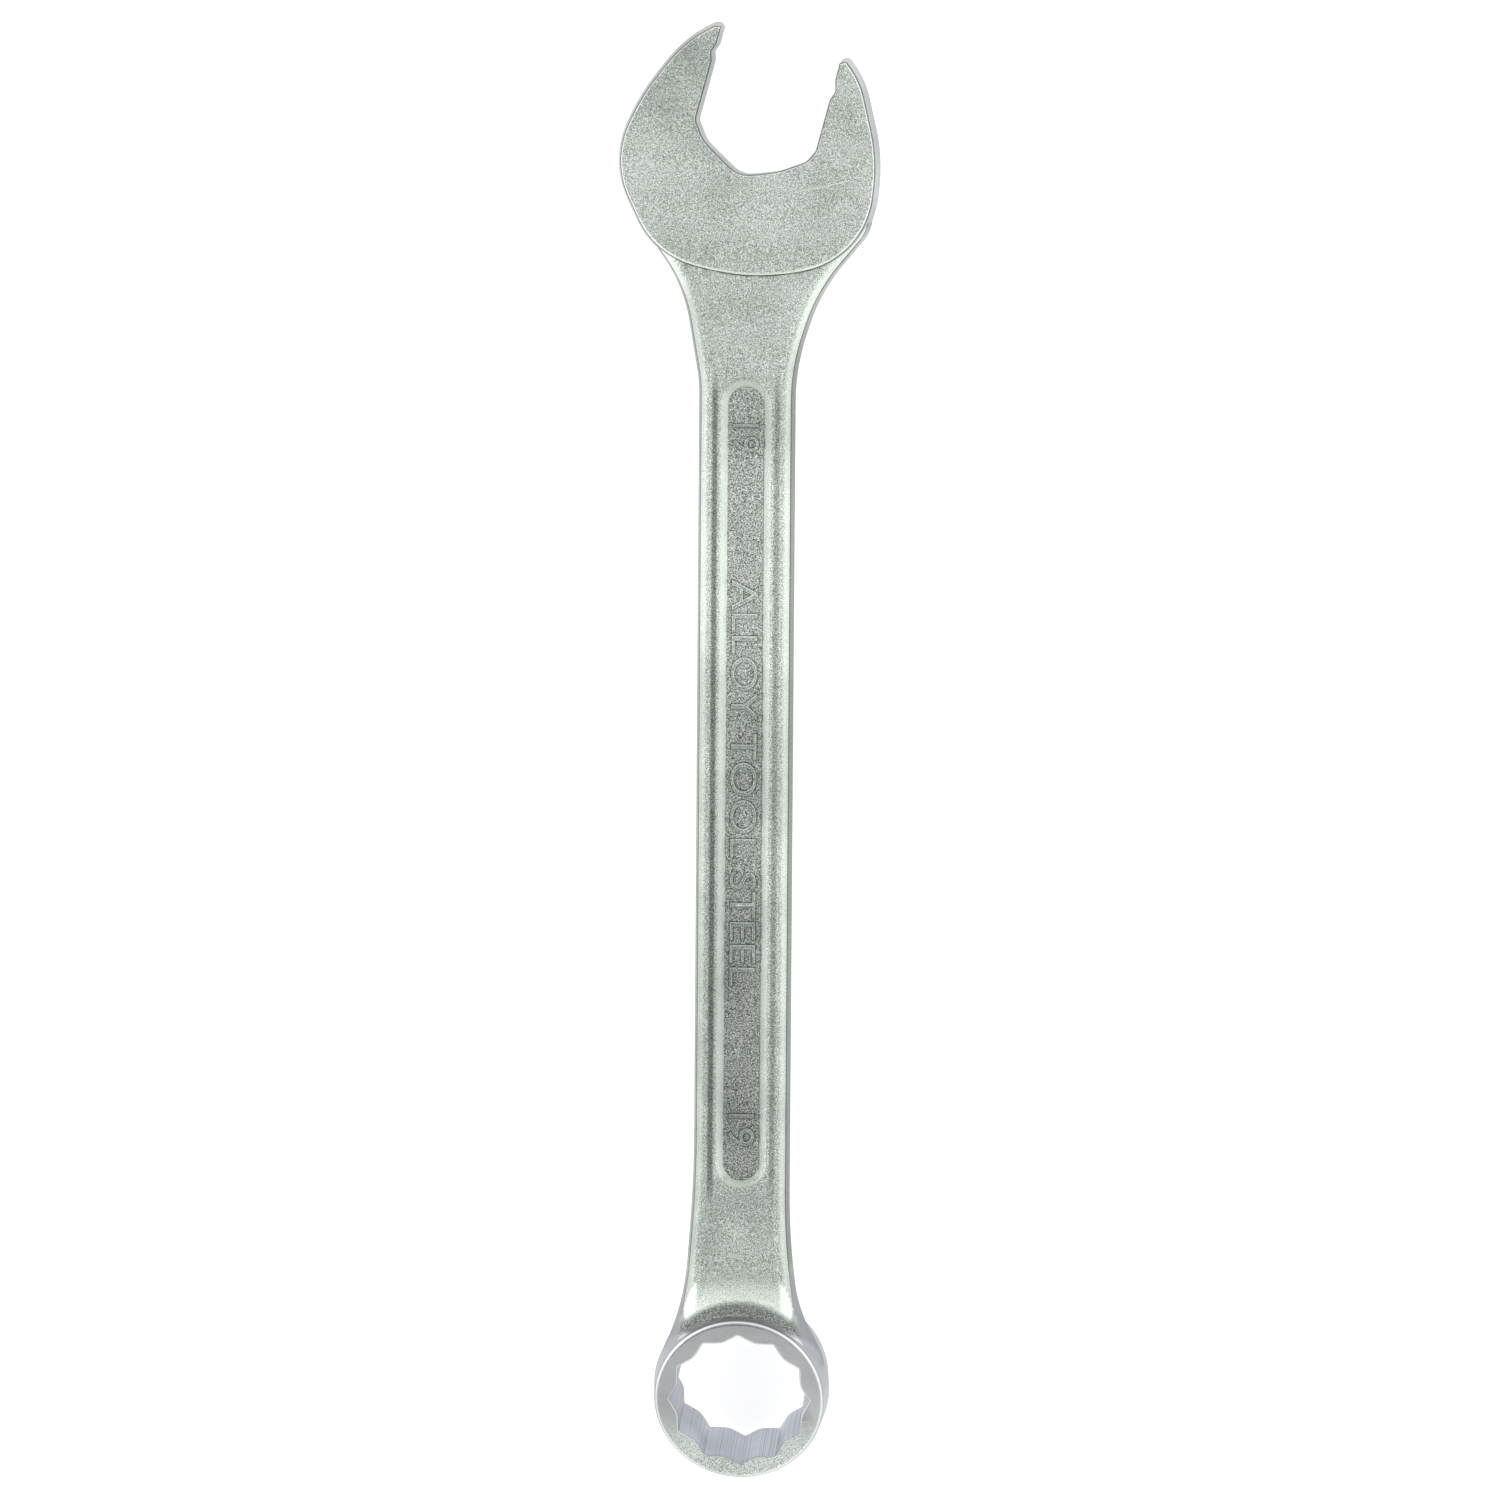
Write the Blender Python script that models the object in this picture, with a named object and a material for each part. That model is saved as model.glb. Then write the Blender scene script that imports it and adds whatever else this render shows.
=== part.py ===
"""A 19 mm combination wrench: one steel drop forging, with an open jaw at one end and a twelve-point ring
at the other.

Everything is drawn in the wrench's own frame: the origin is the shank's centre line at the ring, +Y runs
along the shank towards the open jaw, +X is across it and +Z comes out of the marked face. The finished wrench is then
laid on a bench, where it touches z = 0 with the ring's lower lip and the longer jaw's tip.
"""

import math

import bmesh
import bpy
from mathutils import Matrix, Vector

MM = 0.001

# Driving dimensions
JAW_GAP = 19.3 * MM  # a 19 mm nut with its working clearance
RING_FLATS = 19.2 * MM  # across the flats of the ring's hexagons
JAW_ANGLE = math.radians(15)  # the jaw opens this far off the shank's line
RING_ANGLE = math.radians(15)  # the ring leans this far out of the shank's plane
SHANK_WIDTH = 15.25 * MM
SHANK_HALF_THICKNESS = 3.25 * MM
HEAD_HALF_THICKNESS = 4.25 * MM
RING_HALF_THICKNESS = 5.75 * MM
RING_RADIUS = 14.0 * MM
RING_CENTRE = Vector((0, 0.4 * MM, -2.7 * MM))  # it lies below the shank's middle plane
NUT_CENTRE = Vector((2.6 * MM, 203.6 * MM))  # of a nut held in the open jaw

# Forged walls: draft is how far a wall leans in from the parting line to the rounded edge
HEAD_DRAFT, HEAD_ROUND = 0.5 * MM, 0.4 * MM
SHANK_DRAFT, SHANK_ROUND = 0.4 * MM, 1.2 * MM
RING_DRAFT, RING_ROUND = 0.35 * MM, 0.75 * MM
NECK_HALF_HEIGHT, NECK_DRAFT = 8.0 * MM, 1.0 * MM  # of the block that the sweep up to the ring is cut from
NECK_INSET = 0.05 * MM  # keeps that block just inside the shank at the parting line
ROUND_STEPS = 3

# Marking recess in both faces of the shank
RECESS_ENDS = (33.9 * MM, 159.4 * MM)  # the ends of its floor, measured along the shank
RECESS_HALF_WIDTH = 2.95 * MM
RECESS_DEPTH = 1.0 * MM
RECESS_SLOPE = 1.5  # width that the side walls gain for each unit of height

ARC_STEP = math.radians(12)
RING_STEPS, SWEEP_STEPS = 64, 52
CUTTER_REACH = 30 * MM
SHARP_ANGLE = math.radians(32)
SHORTEST_EDGE = 0.01 * MM
STEEL = (0.62, 0.65, 0.62, 1.0)


def arc_through_corner(before, corner, after, radius):
    """The points of a round corner: an arc of this radius that touches both sides of the corner."""
    to_before = (before - corner).normalized()
    to_after = (after - corner).normalized()
    turn = math.pi - to_before.angle(to_after)
    reach = radius * math.tan(turn / 2)
    start = corner + to_before * reach
    centre = corner + (to_before + to_after).normalized() * radius / math.cos(turn / 2)
    side = 1 if to_before.cross(to_after) < 0 else -1
    steps = max(1, math.ceil(turn / ARC_STEP))
    spoke = start - centre
    turned = [Matrix.Rotation(side * turn * k / steps, 2) for k in range(steps + 1)]
    return [centre + matrix @ spoke for matrix in turned]


def rounded_outline(corners):
    """A closed outline from (x, y, radius) corners in millimetres, each corner replaced by its arc."""
    points = [Vector((x, y)) * MM for x, y, _ in corners]
    outline = []
    for i, (_, _, radius) in enumerate(corners):
        before, corner, after = points[i - 1], points[i], points[(i + 1) % len(points)]
        outline += arc_through_corner(before, corner, after, radius * MM) if radius else [corner]
    return outline


def in_jaw(across, along, radius):
    """A corner of the mouth, given across and along the jaw from the held nut's centre."""
    across_axis = Vector((math.cos(JAW_ANGLE), -math.sin(JAW_ANGLE)))
    along_axis = Vector((math.sin(JAW_ANGLE), math.cos(JAW_ANGLE)))
    corner = NUT_CENTRE / MM + across_axis * across + along_axis * along
    return (*corner, radius)


def mouth_outline():
    """The gap of the open end: lips, shallow relief behind each lip, flats, and a throat for the nut's corner."""
    flat = JAW_GAP / MM / 2
    left = [(-flat - 4, 14.6, 0), (-flat, 10.6, 0.8), (-flat, 7.0, 0), (-flat - 0.45, 5.6, 0), (-flat, 4.4, 0)]
    throat = [(-flat, -5.2, 1), (-7.6, -8.0, 5), (-0.9, -11.8, 4), (4.6, -9.7, 9), (8.7, -6.9, 2), (flat, -4.9, 1)]
    right = [(flat, 3.3, 0), (flat + 0.5, 4.9, 0), (flat, 6.6, 0), (flat, 9.6, 0.8), (flat + 4, 13.6, 0)]
    return rounded_outline([in_jaw(*corner) for corner in left + throat + right])


def head_outline():
    """The blank of the open end seen from above, before the mouth is cut."""
    tips = [(-5.0, 216.4, 1.4), (15.3, 211.4, 1.3)]
    right_cheek = [(18.1, 207.9, 14), (21.1, 195.0, 29), (19.0, 178.6, 14)]
    lower_edge = [(0.6, 175.6, 30), (-14.8, 179.2, 14)]
    left_cheek = [(-21.9, 194.4, 14.5), (-17.5, 204.7, 34.5), (-10.2, 214.0, 20)]
    return rounded_outline(tips + right_cheek + lower_edge + left_cheek)


def shank_outline():
    """The shank with its two flared necks, ending inside the open end and inside the ring."""
    side = SHANK_WIDTH / MM / 2
    right = [(20.0, 184.6, 6), (11.5, 174.3, 28), (side, 162.4, 34), (side, 25.1, 110), (9.1, 13.5, 22)]
    ring_side = [(13.2, 6.0, 0), (11.0, 2.0, 0), (-11.0, 2.0, 0), (-12.5, 5.8, 0)]
    left = [(-9.0, 14.8, 38), (-side, 33.9, 190), (-side, 160.1, 20), (-10.2, 175.1, 23), (-18.6, 186.6, 6)]
    head_side = [(-19.2, 191.0, 0), (19.4, 191.0, 0)]
    return rounded_outline(right + ring_side + left + head_side)


def ring_outline(radius):
    angles = [2 * math.pi * k / RING_STEPS for k in range(RING_STEPS)]
    return [Vector((math.cos(a), math.sin(a))) * radius for a in angles]


def bore_outline():
    """Two hexagons turned 30 degrees to each other: twelve corners with blunt points between them."""
    hexagon_flat = RING_FLATS / 2
    corner = hexagon_flat / math.cos(math.radians(30))
    point = hexagon_flat / math.cos(math.radians(15)) + 0.1 * MM
    shape = ((0, corner), (12, point), (18, point))
    spokes = [(math.radians(30 * k + turn + 2), radius) for k in range(12) for turn, radius in shape]
    return [Vector((math.cos(a), math.sin(a))) * radius for a, radius in spokes]


def stadium_outline(half_width):
    """The marking recess seen from above: straight sides and half-round ends."""
    low, high = RECESS_ENDS
    low, high = low + RECESS_HALF_WIDTH, high - RECESS_HALF_WIDTH
    steps = 10
    turns = [math.pi * k / steps for k in range(steps + 1)]
    far = [Vector((math.cos(a), math.sin(a))) * half_width + Vector((0, high)) for a in turns]
    near = [Vector((-math.cos(a), -math.sin(a))) * half_width + Vector((0, low)) for a in turns]
    return far + near


def inset(outline, distance):
    """The outline moved inwards by a distance, corners kept sharp."""
    moved = []
    for i, point in enumerate(outline):
        along_in = (point - outline[i - 1]).normalized()
        along_out = (outline[(i + 1) % len(outline)] - point).normalized()
        normal_in = Vector((-along_in.y, along_in.x))
        normal_out = Vector((-along_out.y, along_out.x))
        corner = normal_in + normal_out
        moved.append(point + corner * distance / (1 + normal_in.dot(normal_out)))
    return moved


def counter_clockwise(outline):
    area = sum(outline[i - 1].cross(outline[i]) for i in range(len(outline)))
    return outline if area > 0 else outline[::-1]


def stacked_solid(name, loops):
    """A closed solid from loops of equal length, given as (outline, height) from the bottom up."""
    bm = bmesh.new()
    rings = [[bm.verts.new((*p, height)) for p in counter_clockwise(outline)] for outline, height in loops]
    for lower, upper in zip(rings, rings[1:]):
        for i in range(len(lower)):
            bm.faces.new((lower[i - 1], lower[i], upper[i], upper[i - 1]))
    bm.faces.new(reversed(rings[0]))
    bm.faces.new(rings[-1])
    mesh = bpy.data.meshes.new(name)
    bm.to_mesh(mesh)
    bm.free()
    solid = bpy.data.objects.new(name, mesh)
    bpy.context.scene.collection.objects.link(solid)
    return solid


def forged_slab(name, outline, half_thickness, draft, edge_round):
    """A slab that is widest at its middle plane, with drafted walls and rounded edges on both faces."""
    outline = counter_clockwise(outline)
    half = []
    for k in range(ROUND_STEPS + 1):
        turn = math.pi / 2 * k / ROUND_STEPS
        height = half_thickness - edge_round * (1 - math.sin(turn))
        half.append((draft + edge_round * (1 - math.cos(turn)), height))
    profile = [(depth, -height) for depth, height in reversed(half)] + [(0, 0)] + half
    return stacked_solid(name, [(inset(outline, depth), height) for depth, height in profile])


def through_cutter(name, outline):
    return stacked_solid(name, [(outline, -CUTTER_REACH), (outline, CUTTER_REACH)])


def recess_cutter(name, face_sign):
    """The marking recess of one face, with sides that lean outwards."""
    floor = SHANK_HALF_THICKNESS - RECESS_DEPTH
    top = SHANK_HALF_THICKNESS + RECESS_DEPTH
    gain = (top - floor) * RECESS_SLOPE
    loops = [(stadium_outline(RECESS_HALF_WIDTH), floor), (stadium_outline(RECESS_HALF_WIDTH + gain), top)]
    cutter = stacked_solid(name, loops)
    if face_sign < 0:
        cutter.rotation_euler.y = math.pi
    return cutter


def neck_skirt():
    """The sweep from the shank's faces up to the ring's rim, turned about the ring's axis."""
    top = [(13.0, 4.8), (14.0, 4.6), (15.5, 3.3), (17.5, 1.7), (20.0, 0.5)]
    bottom = [(20.0, -5.4), (17.5, -5.1), (15.5, -4.9), (13.0, -4.8)]
    bm = bmesh.new()
    profile = [bm.verts.new((radius * MM, 0, height * MM)) for radius, height in reversed(top + bottom)]
    edges = [bm.edges.new((profile[i - 1], profile[i])) for i in range(len(profile))]
    whole_turn = {"axis": (0, 0, 1), "angle": 2 * math.pi, "steps": SWEEP_STEPS, "use_merge": True}
    bmesh.ops.spin(bm, geom=profile + edges, cent=(0, 0, 0), **whole_turn)
    bmesh.ops.remove_doubles(bm, verts=bm.verts, dist=0.01 * MM)
    bmesh.ops.recalc_face_normals(bm, faces=bm.faces)
    mesh = bpy.data.meshes.new("neck_skirt")
    bm.to_mesh(mesh)
    bm.free()
    skirt = bpy.data.objects.new("neck_skirt", mesh)
    bpy.context.scene.collection.objects.link(skirt)
    return skirt


def lean_with_ring(*objects):
    """Sets a solid drawn about the ring's own axis into its place at the end of the shank."""
    for obj in objects:
        obj.location = RING_CENTRE
        obj.rotation_euler.x = RING_ANGLE


def combine(target, other, operation):
    """Joins or cuts target with a helper solid, which is then left out of the render."""
    modifier = target.modifiers.new(f"{operation.lower()}_{other.name}", "BOOLEAN")
    modifier.operation = operation
    modifier.object = other
    other.hide_render = True
    other.display_type = "WIRE"


def satin_chrome():
    material = bpy.data.materials.new("satin_chrome")
    material.use_nodes = True
    shader = material.node_tree.nodes["Principled BSDF"]
    shader.inputs["Base Color"].default_value = STEEL
    shader.inputs["Metallic"].default_value = 1.0
    shader.inputs["Roughness"].default_value = 0.35
    return material


def build_wrench():
    """The whole forging as one solid, in its own frame."""
    body = forged_slab("wrench_body", shank_outline(), SHANK_HALF_THICKNESS, SHANK_DRAFT, SHANK_ROUND)
    head = forged_slab("open_end", head_outline(), HEAD_HALF_THICKNESS, HEAD_DRAFT, HEAD_ROUND)
    ring = forged_slab("ring_blank", ring_outline(RING_RADIUS), RING_HALF_THICKNESS, RING_DRAFT, RING_ROUND)
    skirt = neck_skirt()
    neck_outline = inset(counter_clockwise(shank_outline()), NECK_INSET)
    neck_limit = forged_slab("neck_limit", neck_outline, NECK_HALF_HEIGHT, NECK_DRAFT, SHANK_ROUND)
    bore = through_cutter("bore", bore_outline())
    mouth = through_cutter("mouth", mouth_outline())
    lean_with_ring(ring, skirt, bore)
    combine(skirt, neck_limit, "INTERSECT")
    combine(body, recess_cutter("front_recess", 1), "DIFFERENCE")
    combine(body, recess_cutter("back_recess", -1), "DIFFERENCE")
    combine(body, head, "UNION")
    combine(body, skirt, "UNION")
    combine(body, ring, "UNION")
    combine(body, bore, "DIFFERENCE")
    combine(body, mouth, "DIFFERENCE")
    return body


def finish(body):
    """Keeps the combined solid alone, smooth over its rounds and sharp at its edges."""
    bpy.context.view_layer.update()
    mesh = bpy.data.meshes.new_from_object(body.evaluated_get(bpy.context.evaluated_depsgraph_get()))
    body.modifiers.clear()
    for helper in [obj for obj in bpy.data.objects if obj is not body]:
        bpy.data.objects.remove(helper)
    bm = bmesh.new()
    bm.from_mesh(mesh)
    bmesh.ops.dissolve_degenerate(bm, edges=bm.edges, dist=SHORTEST_EDGE)
    bm.to_mesh(mesh)
    bm.free()
    mesh.shade_smooth()
    mesh.set_sharp_from_angle(angle=SHARP_ANGLE)
    mesh.materials.append(satin_chrome())
    body.data = mesh


def lay_on_bench(body):
    """Tips the wrench until its two ends stand at the same height, and centres it over the origin."""
    points = [vertex.co.copy() for vertex in body.data.vertices]
    middle = NUT_CENTRE.y / 2
    tilt = 0.0
    for _ in range(4):
        turned = [Matrix.Rotation(tilt, 3, "X") @ point for point in points]
        ring_end = min((p for p in turned if p.y < middle), key=lambda p: p.z)
        jaw_end = min((p for p in turned if p.y > middle), key=lambda p: p.z)
        tilt -= math.atan2(jaw_end.z - ring_end.z, jaw_end.y - ring_end.y)
    turned = [Matrix.Rotation(tilt, 3, "X") @ point for point in points]
    low = [min(p[axis] for p in turned) for axis in range(3)]
    high = [max(p[axis] for p in turned) for axis in range(3)]
    body.rotation_euler.x = tilt
    body.location = (-(low[0] + high[0]) / 2, -(low[1] + high[1]) / 2, -low[2])


def main():
    for obj in list(bpy.data.objects):
        bpy.data.objects.remove(obj)
    body = build_wrench()
    finish(body)
    lay_on_bench(body)


main()
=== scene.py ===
"""The looks of a 19 mm combination wrench lying on a pale bench, marked face up.

The whole wrench is one forging, so one piece, wrench_forging, stands for the CAD node wrench_body.
It is worked out in millimetres in the wrench's own frame (origin on the shank's centre line at the
ring, +Y along the shank to the open jaw, +Z out of the marked face) and then laid on the bench.
"""

import math

import bpy
import numpy as np
from mathutils import Matrix


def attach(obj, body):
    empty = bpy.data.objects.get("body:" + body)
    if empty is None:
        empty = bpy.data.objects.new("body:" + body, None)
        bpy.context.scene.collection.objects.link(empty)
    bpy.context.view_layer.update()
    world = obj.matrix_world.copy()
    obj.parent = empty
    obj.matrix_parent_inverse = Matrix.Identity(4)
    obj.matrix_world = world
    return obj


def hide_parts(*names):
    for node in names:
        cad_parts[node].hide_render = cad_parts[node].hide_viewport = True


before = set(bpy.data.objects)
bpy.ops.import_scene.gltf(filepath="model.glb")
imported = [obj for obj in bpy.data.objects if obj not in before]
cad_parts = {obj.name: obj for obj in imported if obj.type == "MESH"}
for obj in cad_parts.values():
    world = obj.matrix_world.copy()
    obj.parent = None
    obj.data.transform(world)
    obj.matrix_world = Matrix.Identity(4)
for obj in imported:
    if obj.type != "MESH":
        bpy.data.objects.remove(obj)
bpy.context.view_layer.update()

MM = 0.001
SHARP_ANGLE = math.radians(17)
FINEST_TURN = math.radians(3)

# How the wrench lies on the bench
BENCH_TILT = -0.032479
BENCH_OFFSET = np.array([-0.0744, -101.0444, 11.2431])

# Open end
HEAD_HALF_THICKNESS = 4.25
HEAD_DRAFT = 0.5
HEAD_ROUND = 0.52
MOUTH_ROUND = 0.4
STEP_ROUND = 1.0
STEP_BELOW = 180.0
HEAD_ROUND_DEPTH = 0.9
JAW_ANGLE = math.radians(15)
JAW_FLAT = 19.3 / 2
NUT_CENTRE = np.array([2.6, 203.6])

# Shank
HALF_THICKNESS = 3.25
HALF_WIDTH = 7.62
WALL_DRAFT = 0.45
NECK_DRAFT = 1.6
SHOULDER_RADIUS = 3.0
SHOULDER_TURN = math.radians(45)
EDGE_BREAK = (0.17, 0.32)
RECESS_DEPTH = 0.95
RECESS_HALF_WIDTH = 2.85
RECESS_ENDS = (33.9, 159.4)
RECESS_SLOPE = math.radians(36)
RECESS_ROUND = 2.0
RECESS_LIP = 0.04

# Raised marks in the recess: words, where along the shank they start, and their length
MARKS = (("19", 153.6, 4.6), ("ALLOY TOOL STEEL", 129.2, 64.5), ("19", 44.6, 5.3))
MARK_HEIGHT = 4.4
MARK_SUNK = 0.06
MARK_RELIEF = 1.45

# Ring end
RING_ANGLE = math.radians(15)
RING_CENTRE = np.array([0.0, 0.4, -2.7])
RING_RADIUS = 13.95
RING_HALF_THICKNESS = 5.75
RING_DRAFT = 0.45
RING_ROUND = 0.7
RING_ROUND_STEPS = 11
RING_SIDES = 180
RING_FLATS = 19.2
BORE_EDGE = 0.3
BORE_SOFTNESS = math.radians(3.0)

# The opening's outline is worked out at this many angles, and every third one is kept
BORE_SAMPLES = 1440
BORE_KEPT = 3


# ---------------------------------------------------------------- outlines

def arc_points(before, corner, after, radius, steps):
    """Points of an arc of this radius that touches both sides of a corner:
    centre + R(turn * k / steps) (start - centre), with start radius * tan(turn / 2) from the corner."""
    to_before = (before - corner) / np.linalg.norm(before - corner)
    to_after = (after - corner) / np.linalg.norm(after - corner)
    turn = math.pi - math.acos(np.clip(to_before @ to_after, -1, 1))
    bisector = (to_before + to_after) / np.linalg.norm(to_before + to_after)
    centre = corner + bisector * radius / math.cos(turn / 2)
    spoke = corner + to_before * radius * math.tan(turn / 2) - centre
    side = 1 if to_before[0] * to_after[1] - to_before[1] * to_after[0] < 0 else -1
    angle = side * turn * np.linspace(0, 1, steps + 1)
    cos, sin = np.cos(angle), np.sin(angle)
    return centre + np.stack([spoke[0] * cos - spoke[1] * sin, spoke[0] * sin + spoke[1] * cos], 1)


def corner_steps(corners, finest=FINEST_TURN):
    """How many steps each round corner takes: its turn in steps of the finest angle."""
    points = corners[:, :2]
    into = points - np.roll(points, 1, axis=0)
    out = np.roll(points, -1, axis=0) - points
    cross = into[:, 0] * out[:, 1] - into[:, 1] * out[:, 0]
    turn = np.abs(np.arctan2(cross, (into * out).sum(1)))
    return np.maximum(2, np.ceil(turn / finest).astype(int))


def moved_in(corners, distance):
    """The control corners with every side i moved inwards by distance[i]. Each corner goes where its two
    moved sides cross, n0.p = d0 and n1.p = d1. Its radius shrinks where it is convex and grows where
    it is hollow."""
    points, radii = corners[:, :2], corners[:, 2]
    along = np.roll(points, -1, axis=0) - points
    along /= np.linalg.norm(along, axis=1, keepdims=True)
    normal = np.stack([-along[:, 1], along[:, 0]], 1)
    before, d_before = np.roll(normal, 1, axis=0), np.roll(distance, 1)
    cross = before[:, 0] * normal[:, 1] - before[:, 1] * normal[:, 0]
    sharp = np.abs(cross) > 0.03
    safe = np.where(sharp, cross, 1)
    crossing = np.stack([
        (d_before * normal[:, 1] - distance * before[:, 1]) / safe,
        (before[:, 0] * distance - normal[:, 0] * d_before) / safe], 1)
    straight = (before + normal) * ((d_before + distance) / 2 / (1 + (before * normal).sum(1)))[:, None]
    shift = np.where(sharp[:, None], crossing, straight)
    new_radii = radii - np.sign(cross) * (d_before + distance) / 2
    return np.column_stack([points + shift, np.where(radii > 0, np.maximum(new_radii, 0.2), 0)])


def outline(corners, steps):
    """The closed outline of control corners (x, y, radius), with the same number of points at any offset."""
    points = corners[:, :2]
    parts = []
    for i, radius in enumerate(corners[:, 2]):
        if radius > 0:
            after = points[(i + 1) % len(points)]
            parts.append(arc_points(points[i - 1], points[i], after, radius, steps[i]))
        else:
            parts.append(points[i:i + 1])
    return np.vstack(parts)


def in_jaw(corners):
    """Control corners given across and along the jaw from the nut's centre, in the wrench's frame."""
    corners = np.array(corners, float)
    across = np.array([math.cos(JAW_ANGLE), -math.sin(JAW_ANGLE)])
    along = np.array([math.sin(JAW_ANGLE), math.cos(JAW_ANGLE)])
    corners[:, :2] = NUT_CENTRE + corners[:, :1] * across + corners[:, 1:2] * along
    return corners


# ---------------------------------------------------------------- meshes

def new_piece(name, points, faces):
    """A mesh object facing outwards: the faces are turned over if their fans' volume,
    the sum of a . (b x c) / 6, comes out negative."""
    volume = 0.0
    for face in faces:
        a, fan = points[face[0]], points[face[1:]]
        volume += np.cross(fan[:-1], fan[1:]).sum(0) @ a
    if volume < 0:
        faces = [face[::-1] for face in faces]
    mesh = bpy.data.meshes.new(name)
    mesh.from_pydata(points, [], faces)
    obj = bpy.data.objects.new(name, mesh)
    bpy.context.scene.collection.objects.link(obj)
    return obj


def stacked(name, loops):
    """A closed solid through equal loops of points, one after another, with a flat cap at each end."""
    rows, columns = len(loops), len(loops[0])
    index = np.arange(rows * columns).reshape(rows, columns)
    below, above = index[:-1], index[1:]
    quads = np.stack([below, np.roll(below, -1, axis=1), np.roll(above, -1, axis=1), above], -1)
    faces = quads.reshape(-1, 4).tolist()
    faces.append(list(range(columns))[::-1])
    faces.append(list(range((rows - 1) * columns, rows * columns)))
    return new_piece(name, np.vstack(loops), faces)


def vertex_points(mesh):
    """The mesh's vertices as rows of x, y, z."""
    points = np.empty(len(mesh.vertices) * 3)
    mesh.vertices.foreach_get("co", points)
    return points.reshape(-1, 3)


def at_height(points, height):
    """The points of a flat outline, (x, y), raised to (x, y, height)."""
    return np.column_stack([points, np.full(len(points), float(height))])


def turned_with_ring(points):
    """From the ring's own frame to the wrench's: (x, y c - z s, y s + z c) + centre."""
    cos, sin = math.cos(RING_ANGLE), math.sin(RING_ANGLE)
    x, y, z = points.T
    return np.stack([x, y * cos - z * sin, y * sin + z * cos], 1) + RING_CENTRE


def on_bench(points):
    """From the wrench's frame in millimetres to the row frame in metres."""
    cos, sin = math.cos(BENCH_TILT), math.sin(BENCH_TILT)
    x, y, z = points.T
    return (np.stack([x, y * cos - z * sin, y * sin + z * cos], 1) + BENCH_OFFSET) * MM


# ---------------------------------------------------------------- open end

def open_end():
    """The profile (draft, then a quarter ellipse) carried along the outline of the open end: level k is the
    outline moved in by draft + round * (1 - cos a_k), at height H - depth * (1 - sin a_k). The side where the
    blank stands above the shank is rounded most and the machined mouth least."""
    lips = [(-JAW_FLAT, 7.0, 0), (-JAW_FLAT - 0.45, 5.7, 0), (-JAW_FLAT, 4.4, 0)]
    throat = [(-JAW_FLAT, -5.2, 1.0), (-7.6, -8.0, 5), (-0.9, -11.8, 4), (4.6, -9.7, 9), (8.7, -6.9, 2)]
    right = [(JAW_FLAT, -4.9, 1), (JAW_FLAT, 3.3, 0), (JAW_FLAT + 0.5, 4.9, 0), (JAW_FLAT, 6.6, 0)]
    mouth = in_jaw(lips + throat + right)
    outside = np.array([
        (14.45, 210.75, 0.7), (15.6, 211.0, 0.8), (18.1, 207.9, 14), (21.1, 195.0, 29), (19.0, 178.6, 14),
        (0.6, 175.6, 30), (-14.8, 179.2, 14), (-21.9, 194.4, 14.5), (-17.5, 204.7, 34), (-10.2, 214.0, 20),
        (-5.3, 216.4, 0.9), (-4.0, 216.25, 0.4)])
    corners = np.vstack([mouth, outside])[::-1]
    machined = np.arange(len(corners)) >= len(outside) - 1
    draft = np.where(machined, 0.0, HEAD_DRAFT)
    above_shank = (corners[:, 1] < STEP_BELOW) & (np.roll(corners[:, 1], -1) < STEP_BELOW)
    rounding = np.where(machined, MOUTH_ROUND, np.where(above_shank, STEP_ROUND, HEAD_ROUND))
    steps = corner_steps(corners)
    upper = [at_height(outline(corners, steps), 0)]
    for a in np.linspace(0, math.pi / 2, 8):
        distance = draft + rounding * (1 - math.cos(a))
        height = HEAD_HALF_THICKNESS - HEAD_ROUND_DEPTH * (1 - math.sin(a))
        upper.append(at_height(outline(moved_in(corners, distance), steps), height))
    lower = [loop * (1, 1, -1) for loop in upper[:0:-1]]
    return stacked("open_end", lower + upper)


# ---------------------------------------------------------------- shank

def shank_sides(y):
    """Half widths to the left and right of the centre line at y, from the outlines of the necks."""
    left = np.array([(-17.2, 192.0, 0), (-18.6, 186.6, 5), (-10.2, 175.1, 23.8), (-HALF_WIDTH, 160.1, 20),
                     (-HALF_WIDTH, 33.9, 190), (-9.0, 14.8, 38), (-12.75, 5.3, 9), (-13.2, -2.0, 0)])
    right = np.array([(18.4, 192.0, 0), (20.0, 184.6, 6), (11.5, 174.3, 28), (HALF_WIDTH, 162.4, 34),
                      (HALF_WIDTH, 25.1, 110), (9.1, 13.5, 22), (13.4, 5.6, 9), (13.2, -2.0, 0)])
    sides = []
    for corners in (left, right):
        line = outline(corners, corner_steps(corners, math.radians(1)))
        order = np.argsort(line[:, 1])
        sides.append(np.abs(np.interp(y, line[order, 1], line[order, 0])))
    return sides


def smooth_step(low, high, value):
    """t^2 (3 - 2t), where t goes from 0 to 1 as the value goes from low to high."""
    t = np.clip((value - low) / (high - low), 0, 1)
    return t * t * (3 - 2 * t)


def soft_min(a, b, width):
    """min(a, b) with its corner rounded: (a + b - sqrt((a - b)^2 + width^2)) / 2."""
    return (a + b - np.sqrt((a - b) ** 2 + width ** 2)) / 2


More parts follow.
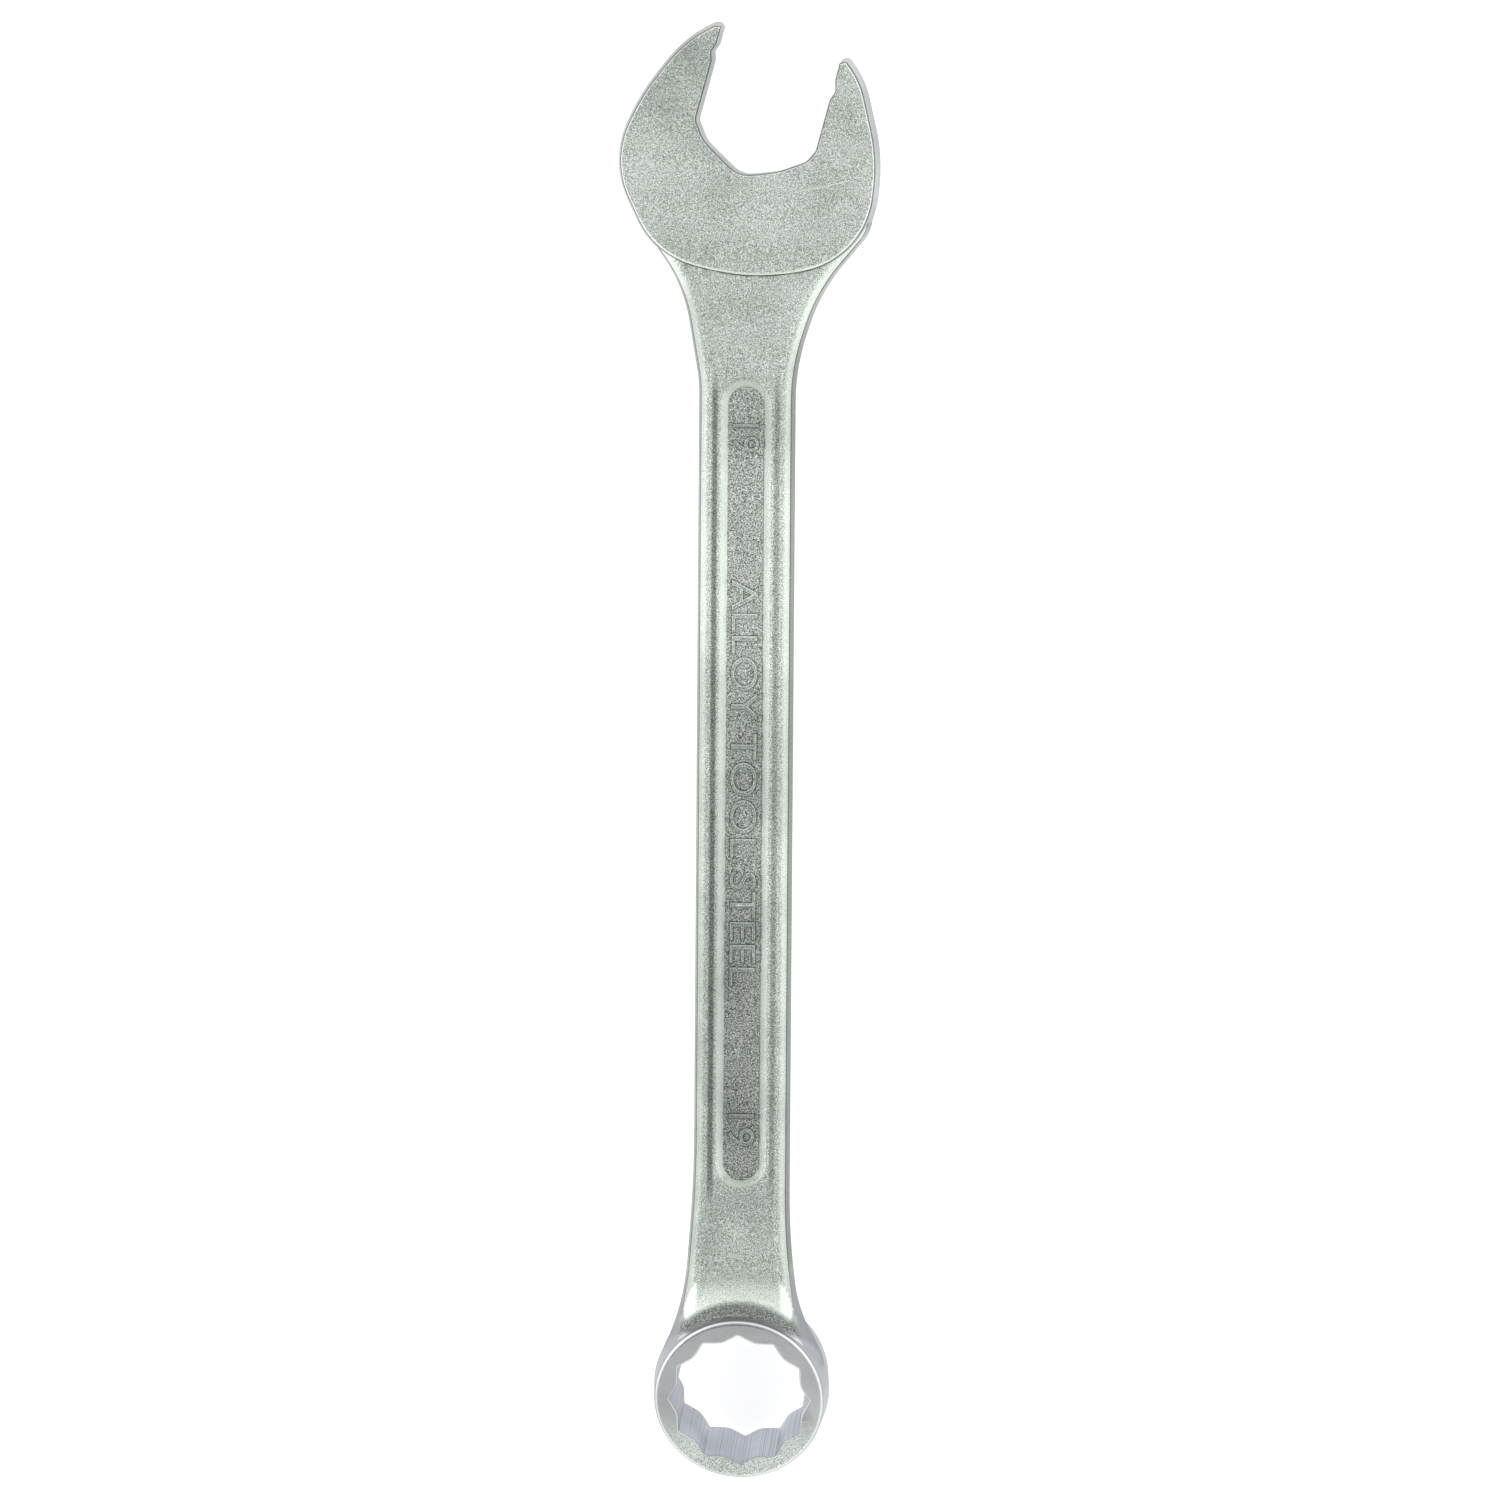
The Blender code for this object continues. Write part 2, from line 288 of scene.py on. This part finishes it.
def rise_to_ring(x, y, above):
    """How far the shank's face stands off its middle plane: level, then sweeping up to the ring's rim.
    With d = the distance from the ring's centre, flattened across the shank, the sweep is
    a * max(0, d0 - d)^2 + b * max(0, d1 - d)^2.5 on the marked face and the first term alone on the back.
    It stops short of the rim's own plane."""
    d = np.sqrt((0.8 * x) ** 2 + (y - RING_CENTRE[1]) ** 2)
    lean = (y - RING_CENTRE[1]) * math.tan(RING_ANGLE)
    if above:
        sweep = 0.032 * np.maximum(0, 20.3 - d) ** 2 + 0.085 * np.maximum(0, 14.6 - d) ** 2.5
        plateau = 2.45 + lean
    else:
        sweep = 0.02 * np.maximum(0, 20.3 - d) ** 2
        plateau = np.maximum(8.2 - lean, HALF_THICKNESS + 1)
    return soft_min(HALF_THICKNESS + sweep, plateau, 0.35)


def shank():
    """A (y, t) grid. Each section runs under the back and home over the marked face: a drafted wall from
    the parting line, a broken edge, a shoulder of radius R over 45 degrees, and the face,
    z = rise(x, y) - R (1 - cos a)."""
    y = np.concatenate([
        np.linspace(-1.0, 26.0, 91), np.linspace(27.0, 150.0, 42), np.linspace(151.5, 191.0, 61)])[:, None]
    left, right = shank_sides(y[:, 0])
    slope_left = np.sqrt(1 + np.gradient(left, y[:, 0]) ** 2)
    slope_right = np.sqrt(1 + np.gradient(right, y[:, 0]) ** 2)
    wall = WALL_DRAFT + NECK_DRAFT * smooth_step(17, 4, y)
    turns = np.linspace(0, SHOULDER_TURN, 9)[1:]
    shoulder_x = SHOULDER_RADIUS * np.sin(turns)
    shoulder_drop = SHOULDER_RADIUS * (1 - np.cos(turns))
    shoulder_x = np.append(shoulder_x, shoulder_x[-1] + EDGE_BREAK[0])
    shoulder_drop = np.append(shoulder_drop, shoulder_drop[-1] + EDGE_BREAK[1])
    flat = np.linspace(0, 1, 13)
    climb = np.array([0.75, 0.5, 0.25])

    def half_section(width, slope, sign, above):
        width, slope = width[:, None], slope[:, None]
        edge = width - wall
        crown = edge - slope * shoulder_x[-1]
        x = np.hstack([crown * flat, crown + slope * shoulder_x])
        drop = np.concatenate([np.zeros(len(flat)), shoulder_drop])
        z = rise_to_ring(sign * x, y, above) - drop
        wall_x = width - wall * climb
        wall_z = z[:, -1:] * climb
        return sign * np.hstack([x, wall_x]), np.hstack([z, wall_z])

    top_left_x, top_left_z = half_section(left, slope_left, -1, True)
    top_right_x, top_right_z = half_section(right, slope_right, 1, True)
    back_left_x, back_left_z = half_section(left, slope_left, -1, False)
    back_right_x, back_right_z = half_section(right, slope_right, 1, False)
    part_right, part_left = right[:, None], -left[:, None]
    level = np.zeros_like(part_right)
    x = np.hstack([back_left_x[:, ::-1], back_right_x[:, 1:], part_right,
                   top_right_x[:, ::-1], top_left_x[:, 1:], part_left])
    z = np.hstack([-back_left_z[:, ::-1], -back_right_z[:, 1:], level,
                   top_right_z[:, ::-1], top_left_z[:, 1:], level])
    return stacked("shank", np.stack([x, np.broadcast_to(y, x.shape), z], -1))


def recess_cutter(name, sign):
    """The marking recess: a stadium's outline moved out by e and lifted to z along the side's profile,
    a straight slope and then a round of radius R back to the level of the face."""
    low, high = RECESS_ENDS[0] + RECESS_HALF_WIDTH, RECESS_ENDS[1] - RECESS_HALF_WIDTH
    turns = np.linspace(0, math.pi, 33)
    side_y = np.linspace(low, high, 25)[1:-1]

    def stadium(radius):
        far = np.stack([np.cos(turns) * radius, high + np.sin(turns) * radius], 1)
        near = np.stack([-np.cos(turns) * radius, low - np.sin(turns) * radius], 1)
        up = np.stack([np.full(len(side_y), radius), side_y], 1)
        down = np.stack([np.full(len(side_y), -radius), side_y[::-1]], 1)
        return np.vstack([far, down, near, up])

    round_turns = np.linspace(RECESS_SLOPE, math.radians(7), 9)
    round_rise = RECESS_ROUND * (np.cos(round_turns) - math.cos(RECESS_SLOPE))
    slope_rise = RECESS_DEPTH - round_rise[-1] - RECESS_LIP
    slope_run = slope_rise / math.tan(RECESS_SLOPE)
    round_run = RECESS_ROUND * (math.sin(RECESS_SLOPE) - np.sin(round_turns))
    floor = HALF_THICKNESS - RECESS_DEPTH
    profile = [(-3 * RECESS_LIP, 0.0), (0.0, RECESS_LIP)]
    profile += [(slope_run + run, RECESS_LIP + slope_rise + rise) for run, rise in zip(round_run, round_rise)]
    profile += [(slope_run + round_run[-1] + 2.0, RECESS_DEPTH + 1.5)]
    loops = [at_height(stadium(RECESS_HALF_WIDTH + e), floor + z) for e, z in profile]
    if sign < 0:
        loops = [loop * (1, 1, -1) for loop in loops[::-1]]
    return stacked(name, loops)


# ---------------------------------------------------------------- ring end

def round_the_ring(angle, profile, radius):
    """Loops round the ring's axis, (R cos a, R sin a, z) with R = radius(a) + r for each (r, z) of the
    profile, turned with the ring."""
    loops = []
    for r, z in profile:
        out = radius + r
        loop = np.stack([out * np.cos(angle), out * np.sin(angle), np.full(len(angle), z)], 1)
        loops.append(turned_with_ring(loop))
    return loops


def ring_blank():
    """The ring before its opening: the profile (r, z) turned about the ring's axis."""
    turns = np.linspace(0, math.pi / 2, RING_ROUND_STEPS)
    rim = [(RING_RADIUS - RING_DRAFT - RING_ROUND * (1 - math.cos(a)),
            RING_HALF_THICKNESS - RING_ROUND * (1 - math.sin(a))) for a in turns]
    climb = np.linspace(0, 1, 5)[:-1]
    side = [(RING_RADIUS - RING_DRAFT * up, (RING_HALF_THICKNESS - RING_ROUND) * up) for up in climb]
    upper = side + rim
    profile = [(r, -z) for r, z in upper[:0:-1]] + upper
    angle = np.linspace(0, 2 * math.pi, RING_SIDES, endpoint=False) + 0.01
    return stacked("ring_blank", round_the_ring(angle, profile, 0))


def bore_cutter():
    """Twelve points: r(a) = (flats / 2) / cos(30 deg - a) with a from each outer corner, the inner corners
    rounded by a' = 15 deg - sqrt((15 deg - a)^2 + w^2) and the outer ones by averaging over about a degree.
    The outline is carried through the ring, with a small round where it meets each face."""
    angle = np.linspace(0, 2 * math.pi, BORE_SAMPLES, endpoint=False)
    sector = math.radians(30)
    away = np.abs((angle + sector / 2) % sector - sector / 2)
    away = sector / 2 - np.sqrt((sector / 2 - away) ** 2 + BORE_SOFTNESS ** 2)
    radius = RING_FLATS / 2 / np.cos(sector - away)
    spread = np.exp(-0.5 * (np.minimum(angle, 2 * math.pi - angle) / math.radians(0.8)) ** 2)
    spread /= spread.sum()
    radius = np.real(np.fft.ifft(np.fft.fft(radius) * np.fft.fft(spread)))
    turns = np.linspace(0, math.pi / 2, 8)
    upper = [(0.0, 0.0)]
    upper += [(BORE_EDGE * (1 - math.cos(a)), RING_HALF_THICKNESS - BORE_EDGE * (1 - math.sin(a)))
              for a in turns]
    upper += [(BORE_EDGE + 2.0, RING_HALF_THICKNESS + 2.0)]
    profile = [(e, -z) for e, z in upper[:0:-1]] + upper
    loops = round_the_ring(angle[::BORE_KEPT], profile, radius[::BORE_KEPT])
    return stacked("bore_cutter", loops)


# ---------------------------------------------------------------- marks

def raised_words(text, start_y, length):
    """Raised letters on the recess's floor, their tops towards +X, reading towards -Y from start_y."""
    curve = bpy.data.curves.new("mark_" + text.replace(" ", "_").lower(), "FONT")
    curve.body = text
    curve.size = 6.2
    curve.extrude = 0.06
    curve.bevel_depth = 0.3
    curve.bevel_resolution = 3
    curve.offset = -0.19
    curve.resolution_u = 6
    holder = bpy.data.objects.new(curve.name, curve)
    bpy.context.scene.collection.objects.link(holder)
    bpy.context.view_layer.update()
    mesh = bpy.data.meshes.new_from_object(holder)
    bpy.data.objects.remove(holder)
    points = vertex_points(mesh)
    low, high = points.min(0), points.max(0)
    along = (points[:, 0] - low[0]) * length / (high[0] - low[0])
    up = (points[:, 1] - (low[1] + high[1]) / 2) * MARK_HEIGHT / (high[1] - low[1])
    z = HALF_THICKNESS - RECESS_DEPTH - MARK_SUNK + points[:, 2] * MARK_RELIEF
    placed = np.stack([up, start_y - along, z], 1)
    mesh.vertices.foreach_set("co", placed.ravel())
    mesh.update()
    obj = bpy.data.objects.new(curve.name, mesh)
    bpy.context.scene.collection.objects.link(obj)
    return obj


# ---------------------------------------------------------------- the forging

def combine(target, other, operation):
    """Adds the other solid to the target, or takes it away."""
    modifier = target.modifiers.new(other.name, "BOOLEAN")
    modifier.operation = operation
    modifier.solver = "EXACT"
    modifier.object = other


def baked(obj):
    """The object's mesh with its modifiers worked in."""
    bpy.context.view_layer.update()
    return bpy.data.meshes.new_from_object(obj.evaluated_get(bpy.context.evaluated_depsgraph_get()))


def forging():
    """Blanks joined, recesses and openings cut, and the raised marks set on the recess's floor."""
    body = shank()
    tools = [(recess_cutter("front_recess", 1), "DIFFERENCE"),
             (recess_cutter("back_recess", -1), "DIFFERENCE"),
             (open_end(), "UNION"), (ring_blank(), "UNION"), (bore_cutter(), "DIFFERENCE")]
    for tool, operation in tools:
        combine(body, tool, operation)
    mesh = baked(body)
    for obj in [body] + [tool for tool, _ in tools]:
        bpy.data.objects.remove(obj)
    marks = [raised_words(*mark) for mark in MARKS]
    piece = bpy.data.objects.new("wrench_forging", mesh)
    bpy.context.scene.collection.objects.link(piece)
    with bpy.context.temp_override(active_object=piece, selected_editable_objects=[piece] + marks,
                                   selected_objects=[piece] + marks, object=piece):
        bpy.ops.object.join()
    mesh = piece.data
    mesh.shade_smooth()
    mesh.set_sharp_from_angle(angle=SHARP_ANGLE)
    even = piece.modifiers.new("even_faces", "WEIGHTED_NORMAL")
    even.keep_sharp = True
    even.weight = 90
    settled = baked(piece)
    piece.modifiers.clear()
    piece.data = settled
    note_places(settled)
    points = vertex_points(settled)
    settled.vertices.foreach_set("co", on_bench(points).ravel())
    settled.update()
    return piece


def unbroken(mesh, turn):
    """The same angles per face corner, with 2 pi added to the negative ones of a face that spans 180 deg."""
    first = np.empty(len(mesh.polygons), np.int32)
    mesh.polygons.foreach_get("loop_start", first)
    count = np.empty(len(mesh.polygons), np.int32)
    mesh.polygons.foreach_get("loop_total", count)
    spans = np.maximum.reduceat(turn, first) - np.minimum.reduceat(turn, first) > math.pi
    return turn + 2 * math.pi * (np.repeat(spans, count) & (turn < 0))


def note_places(mesh):
    """Stores where each corner of each face lies, for the material's finishes and its painted shade and
    highlights:
    steep = acos |n_z| / 90 deg, floor = 1 on the recess's floor and the marks, mark = 1 on the marks,
    ring = 1 at the ring, bore = 1 on the wall of its opening, turn = the angle about its axis,
    neck_side = the cosine of that angle, foot = 1 in the hollow where the neck meets the ring,
    swept = 1 on the sweep up to it, wall = 1 on the steep sides."""
    normals = np.empty(len(mesh.loops) * 3, np.float32)
    mesh.corner_normals.foreach_get("vector", normals)
    vertex = np.empty(len(mesh.loops), np.int32)
    mesh.loops.foreach_get("vertex_index", vertex)
    x, y, z = vertex_points(mesh)[vertex].T
    steep = np.arccos(np.clip(np.abs(normals.reshape(-1, 3)[:, 2]), 0, 1)) / (math.pi / 2)

    along_recess = (y > RECESS_ENDS[0] - 0.05) & (y < RECESS_ENDS[1] + 0.05)
    inside = (np.abs(x) < RECESS_HALF_WIDTH + 0.05) & along_recess
    floor = inside & (np.abs(z) < HALF_THICKNESS - 0.35)
    mark = floor & (np.abs(z) > HALF_THICKNESS - RECESS_DEPTH + 0.03)

    in_plane = (y - RING_CENTRE[1]) * math.cos(RING_ANGLE) + (z - RING_CENTRE[2]) * math.sin(RING_ANGLE)
    from_axis = np.hypot(x, in_plane)
    at_ring = y < 16
    ring = smooth_step(14.3, 13.9, from_axis) * at_ring
    bore = (from_axis < RING_FLATS * 0.6) & (steep > 0.6) & at_ring
    turn = np.arctan2(x, in_plane)
    neck_side = np.cos(turn)

    beyond = np.hypot(1.03 * x, y - RING_CENTRE[1])
    foot = smooth_step(14.7, 13.9, beyond) * smooth_step(13.5, 13.8, from_axis) * (z > 0.8)
    swept = smooth_step(20.0, 17.6, beyond) * smooth_step(14.2, 15.0, beyond) * (z > HALF_THICKNESS)
    near_ring = np.maximum(smooth_step(22, 8, y), smooth_step(14.6, 14.2, from_axis) * at_ring)
    wall = smooth_step(0.84 - 0.38 * near_ring, 0.92 - 0.34 * near_ring, steep)

    finish = {"steep": steep, "floor": floor, "mark": mark, "ring": ring, "bore": bore,
              "turn": unbroken(mesh, turn), "neck_side": neck_side, "foot": foot, "swept": swept,
              "wall": wall}
    for name, values in finish.items():
        layer = mesh.attributes.new(name, "FLOAT", "CORNER")
        layer.data.foreach_set("value", np.asarray(values, np.float32))


# ---------------------------------------------------------------- materials

# The places below are in metres, as Object coordinates are on the finished piece
GRAIN = 4300
SCRATCH_START = (0.0064, 0.0886)
SCRATCH_WAY = (0.975, 0.222)


class Wire:
    """A node's output socket that works in Python sums, so that a formula reads as it is written."""

    def __init__(self, tree, socket):
        self.tree = tree
        self.socket = socket

    def node(self, kind, settings=None, output=0, **sockets):
        """A node of this kind: its settings, then its sockets by name, or by number as i0, i1, ..."""
        made = self.tree.nodes.new(kind)
        for key, value in (settings or {}).items():
            setattr(made, key, value)
        for key, value in sockets.items():
            name = key.replace("_", " ")
            socket = made.inputs[int(key[1:])] if key[0] == "i" and key[1:].isdigit() else made.inputs[name]
            if isinstance(value, Wire):
                self.tree.links.new(value.socket, socket)
            else:
                socket.default_value = value
        return Wire(self.tree, made.outputs[output])

    def maths(self, operation, *values):
        sockets = {f"i{k}": value for k, value in enumerate(values)}
        return self.node("ShaderNodeMath", {"operation": operation}, **sockets)

    def __add__(self, other):
        return self.maths("ADD", self, other)

    def __radd__(self, other):
        return self.maths("ADD", other, self)

    def __sub__(self, other):
        return self.maths("SUBTRACT", self, other)

    def __rsub__(self, other):
        return self.maths("SUBTRACT", other, self)

    def __mul__(self, other):
        return self.maths("MULTIPLY", self, other)

    def __rmul__(self, other):
        return self.maths("MULTIPLY", other, self)

    def __truediv__(self, other):
        return self.maths("DIVIDE", self, other)

    def __pow__(self, other):
        return self.maths("POWER", self, other)

    def ramp(self, low, high, start=0.0, end=1.0):
        """Smoothly from start to end as the value goes from low to high."""
        made = self.tree.nodes.new("ShaderNodeMapRange")
        made.interpolation_type = "SMOOTHSTEP"
        self.tree.links.new(self.socket, made.inputs["Value"])
        for name, value in (("From Min", low), ("From Max", high), ("To Min", start), ("To Max", end)):
            made.inputs[name].default_value = value
        return Wire(self.tree, made.outputs[0])


def satin_chrome():
    """Satin chrome over a forged skin: speckled on the blasted faces and brighter where edges are rounded,
    smooth and a little blue on walls and in the opening.
    Light and shade are painted in as well: a faint green tint on the faces for reflected greenish
    surroundings, a highlight on the ring's rim, thin dark lines where edges turn down, and shade and light in
    places over the faces."""
    material = bpy.data.materials.new("satin_chrome")
    material.use_nodes = True
    tree = material.node_tree
    shader = tree.nodes["Principled BSDF"]
    start = Wire(tree, None)
    place = start.node("ShaderNodeTexCoord", output=3)

    def noted(name):
        return start.node("ShaderNodeAttribute", {"attribute_name": name}, output=2)

    def noise(scale, detail=2.0, rough=0.5):
        return start.node("ShaderNodeTexNoise", Vector=place, Scale=scale, Detail=detail, Roughness=rough)

    def blend(amount, first, second, kind="MIX"):
        return start.node("ShaderNodeMix", {"data_type": "RGBA", "blend_type": kind}, output=2,
                          i0=amount, i6=first, i7=second)

    def larger(first, second):
        return first.maths("MAXIMUM", first, second)

    steep, floor, ring, bore = noted("steep"), noted("floor"), noted("ring"), noted("bore")
    turn, mark, wall, swept = noted("turn"), noted("mark"), noted("wall"), noted("swept")
    # the hollow where the neck meets the ring, where shade is painted: more speckle and a darker tone
    foot = noted("foot") * (1.0 - wall)
    x = start.node("ShaderNodeSeparateXYZ", Vector=place)
    y = Wire(tree, x.socket.node.outputs[1])

    # where each finish lies, and where shade and highlights are painted
    # painted shade: a thin dark line where rounded edges turn down towards the walls
    turned = steep.ramp(0.47, 0.60) * (1.0 - wall)
    # painted highlight: the ring's rounded rim, given a near-white colour below
    rim = steep.ramp(0.2, 0.36) * (1.0 - steep.ramp(0.45, 0.6))
    smooth_ring = ring * larger(y.ramp(-0.1125, -0.1035), rim)
    # less speckle on steep faces, and half as much on the sweep up to the ring, as part of the painted
    # highlight there
    lying = 1.0 - swept * 0.5 - steep.ramp(0.18, 0.42) * 0.72
    blasted = (1.0 - wall) * (1.0 - smooth_ring * 0.85) * (1.0 - mark * 0.35) * larger(lying, foot)
    across = x.maths("ABSOLUTE", x)
    # painted shade: a dark band along the crown beside each side of the recess
    rail = across.ramp(0.0042, 0.0047) * (1.0 - across.ramp(0.0051, 0.0056))
    rail = rail * y.ramp(-0.072, -0.066) * (1.0 - y.ramp(0.056, 0.062)) * (1.0 - steep.ramp(0.1, 0.3))
    # painted shade: a thin dark line in the crease along the right edge of the recess floor
    crease_shade = x.ramp(0.00268, 0.00276) * (1.0 - x.ramp(0.00284, 0.00292)) * floor
    # painted shade on the shank's gently sloped faces, its shoulders and recess slopes, away from the ring
    # and the sweep
    shoulder = steep.ramp(0.08, 0.24) * (1.0 - ring) * (1.0 - swept)
    # painted shade over the open end's left jaw
    left_jaw = y.ramp(0.088, 0.104) * (1.0 - x.ramp(-0.014, 0.006))
    # the ring's face, where light is painted in: brighter away from the neck, a little darker towards it
    ring_face = ring * (1.0 - bore) * (1.0 - rim)

    # grain, the slower changes of tone, and painted shade and highlights
    grain = noise(GRAIN, 3.0, 0.75)
    fine = noise(GRAIN * 2.1, 1.0)
    patches = noise(150, 3.0, 0.6)
    cloud = noise(38)
    speckle = (grain * 0.7 + fine * 0.3).ramp(0.41, 0.60)
    # deeper speckle on the recess floor, and in the neck's hollow as part of its painted shade
    tone = 1.0 - blasted * (1.0 - speckle) * (0.62 + floor * 0.24 + foot * 0.16)
    tone = tone * (0.78 + cloud.ramp(0.38, 0.62) * 0.26 + patches.ramp(0.3, 0.7) * 0.1)
    # The recess floor is darker towards the ring end, and light is painted along the piece: 0.9 at the ring
    # end rising to 1.19 at the open end
    tone = tone * (1.0 - floor * y.ramp(0.05, -0.07, 0.06, 0.24)) * y.ramp(-0.085, 0.07, 0.90, 1.19)
    # painted shade: the thin dark line where edges turn down, and the crown band beside the recess, darkened
    # by 58% on the left and 36% on the right
    tone = tone * (1.0 - turned * 0.85) * (1.0 - rail * x.ramp(-0.0045, 0.0045, 0.58, 0.36))
    # painted shade in the neck's hollow at the ring and in the crease along the recess floor, and a painted
    # highlight on the sweep up to the ring
    tone = tone * (1.0 - foot * 0.4) * (1.0 - crease_shade * 0.4) * (1.0 + swept * 0.12)
    # painted shade: the shank's sloped faces darkened by up to a quarter short of the open end, and the left
    # jaw by about a quarter
    tone = tone * (1.0 - shoulder * y.ramp(0.07, 0.078, 0.26, 0.0)) * (1.0 - left_jaw * 0.26)
    # painted light on the ring's face: up to about a third brighter on the side away from the neck, a little
    # darker on the neck's side
    tone = tone * (1.0 + ring_face * (0.17 - noted("neck_side") * 0.19))

    # one long scratch across the open end
    along = (x - SCRATCH_START[0]) * SCRATCH_WAY[0] + (y - SCRATCH_START[1]) * SCRATCH_WAY[1]
    beside = (x - SCRATCH_START[0]) * SCRATCH_WAY[1] - (y - SCRATCH_START[1]) * SCRATCH_WAY[0]
    scratch = (1.0 - beside.maths("ABSOLUTE", beside).ramp(0.00006, 0.00014)) * along.ramp(0.0, 0.001)
    scratch = scratch * (1.0 - along.ramp(0.009, 0.0105)) * blasted
    tone = tone + (1.0 - tone) * scratch * 0.6

    scrape = start.node("ShaderNodeTexNoise", {"noise_dimensions": "1D"}, W=turn * 60.0, Scale=1.0,
                        Detail=2.0, Roughness=0.7).ramp(0.36, 0.42)
    broached = blend(scrape, (0.30, 0.31, 0.35, 1), (0.56, 0.58, 0.635, 1))
    bright_chrome = (0.975, 1.0, 0.965, 1)
    # a green tint painted into the darker speckle, standing for greenish surroundings reflected in the chrome
    green_reflection_tint = (0.87, 1.0, 0.875, 1)
    wall_blue = (0.36, 0.375, 0.395, 1)
    # the ring's smooth grey, with a painted highlight on its rim
    ring_grey_and_rim_highlight = blend(rim, (0.60, 0.62, 0.625, 1), (0.90, 0.92, 0.91, 1))
    colour = blend(smooth_ring, blend(1.0 - speckle, bright_chrome, green_reflection_tint), ring_grey_and_rim_highlight)
    colour = blend(bore, blend(wall, colour, wall_blue), broached)
    shade = start.node("ShaderNodeCombineColor", i0=tone, i1=tone, i2=tone)
    colour = blend(1.0, colour, shade, "MULTIPLY")
    tree.links.new(colour.socket, shader.inputs["Base Color"])

    roughness = 0.22 + wall * 0.14 + smooth_ring * 0.08 + speckle * 0.06
    tree.links.new(roughness.socket, shader.inputs["Roughness"])
    shader.inputs["Metallic"].default_value = 1.0

    height = (grain * 0.75 + fine * 0.25) * (0.12 + blasted * 0.88) + patches * 0.45
    bump = start.node("ShaderNodeBump", Height=height, Strength=0.75, Distance=0.00016)
    tree.links.new(bump.socket, shader.inputs["Normal"])
    return material


# ---------------------------------------------------------------- the room

# In metres, but for the camera's target, which is in the wrench's own millimetres
LAMPS = (("left_lamp", -1, 4.0), ("right_lamp", 1, 2.2))
LAMP_SIZE = (0.7, 1.6)
LAMP_PLACE = (1.1, 0.1, 0.95)
LAMP_LEAN = math.radians(49)
DARK_OVERHEAD = (-0.21, -0.14, 0.968)
BENCH_HALF = 3.0
BENCH_GREY = (0.7, 0.7, 0.7, 1)
BENCH_GLOW = 0.68

CAMERA_LENS = 228.8
CAMERA_SENSOR = 36
CAMERA_DISTANCE = 1.5
CAMERA_LEAN = (math.radians(4.4), math.radians(5.0))
CAMERA_ROLL = math.radians(0.27)
CAMERA_TARGET = np.array([[0.96, 102.16, 2.0]])


def sky():
    """A white sky, bright all round and dark close to straight above."""
    world = bpy.data.worlds.new("studio")
    world.use_nodes = True
    tree = world.node_tree
    start = Wire(tree, None)
    direction = start.node("ShaderNodeTexCoord", output=0)
    height = start.node("ShaderNodeVectorMath", {"operation": "DOT_PRODUCT"}, output=1,
                        i0=direction, i1=DARK_OVERHEAD)
    background = tree.nodes["Background"]
    tree.links.new(height.ramp(0.80, 1.0, 0.95, 0.06).socket, background.inputs["Strength"])
    background.inputs["Color"].default_value = (1.0, 1.0, 1.0, 1)
    bpy.context.scene.world = world


def lamps():
    """A long soft lamp at each side, leaning in over the bench."""
    for name, side, power in LAMPS:
        lamp = bpy.data.lights.new(name, "AREA")
        lamp.shape = "RECTANGLE"
        lamp.size, lamp.size_y = LAMP_SIZE
        lamp.energy = power
        holder = bpy.data.objects.new(name, lamp)
        holder.location = (side * LAMP_PLACE[0], *LAMP_PLACE[1:])
        holder.rotation_euler = (0, side * LAMP_LEAN, 0)
        bpy.context.scene.collection.objects.link(holder)


def bench():
    """A plain white bench top under the wrench."""
    mesh = bpy.data.meshes.new("bench_top")
    edge = BENCH_HALF
    corners = [(-edge, -edge, 0), (edge, -edge, 0), (edge, edge, 0), (-edge, edge, 0)]
    mesh.from_pydata(corners, [], [(0, 1, 2, 3)])
    top = bpy.data.objects.new("bench_top", mesh)
    bpy.context.scene.collection.objects.link(top)
    paint = bpy.data.materials.new("bench_white")
    paint.use_nodes = True
    shader = paint.node_tree.nodes["Principled BSDF"]
    shader.inputs["Base Color"].default_value = BENCH_GREY
    shader.inputs["Roughness"].default_value = 0.8
    shader.inputs["Emission Color"].default_value = (1, 1, 1, 1)
    shader.inputs["Emission Strength"].default_value = BENCH_GLOW
    mesh.materials.append(paint)


def camera():
    """A long lens over the wrench, a little towards the open end and the right. Its axes are worked out from
    the way back from the target, (tan lean x, tan lean y, 1), in the wrench's frame, and a slight roll."""
    data = bpy.data.cameras.new("camera")
    data.lens = CAMERA_LENS
    data.sensor_width = CAMERA_SENSOR
    data.clip_end = 20
    holder = bpy.data.objects.new("camera", data)
    bpy.context.scene.collection.objects.link(holder)
    lean_x, lean_y = math.tan(CAMERA_LEAN[0]), math.tan(CAMERA_LEAN[1])
    cos, sin = math.cos(BENCH_TILT), math.sin(BENCH_TILT)
    back = np.array([lean_x, lean_y * cos - sin, lean_y * sin + cos])
    back /= np.linalg.norm(back)
    right = np.cross([-math.sin(CAMERA_ROLL), math.cos(CAMERA_ROLL), 0.0], back)
    right /= np.linalg.norm(right)
    matrix = np.eye(4)
    matrix[:3, 0], matrix[:3, 1], matrix[:3, 2] = right, np.cross(back, right), back
    matrix[:3, 3] = on_bench(CAMERA_TARGET)[0] + back * CAMERA_DISTANCE
    holder.matrix_world = Matrix(matrix.tolist())
    bpy.context.scene.camera = holder


bpy.context.scene.view_settings.view_transform = "Standard"
wrench = forging()
wrench.data.materials.clear()
wrench.data.materials.append(satin_chrome())
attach(wrench, "root")
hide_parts("wrench_body")
sky()
lamps()
bench()
camera()
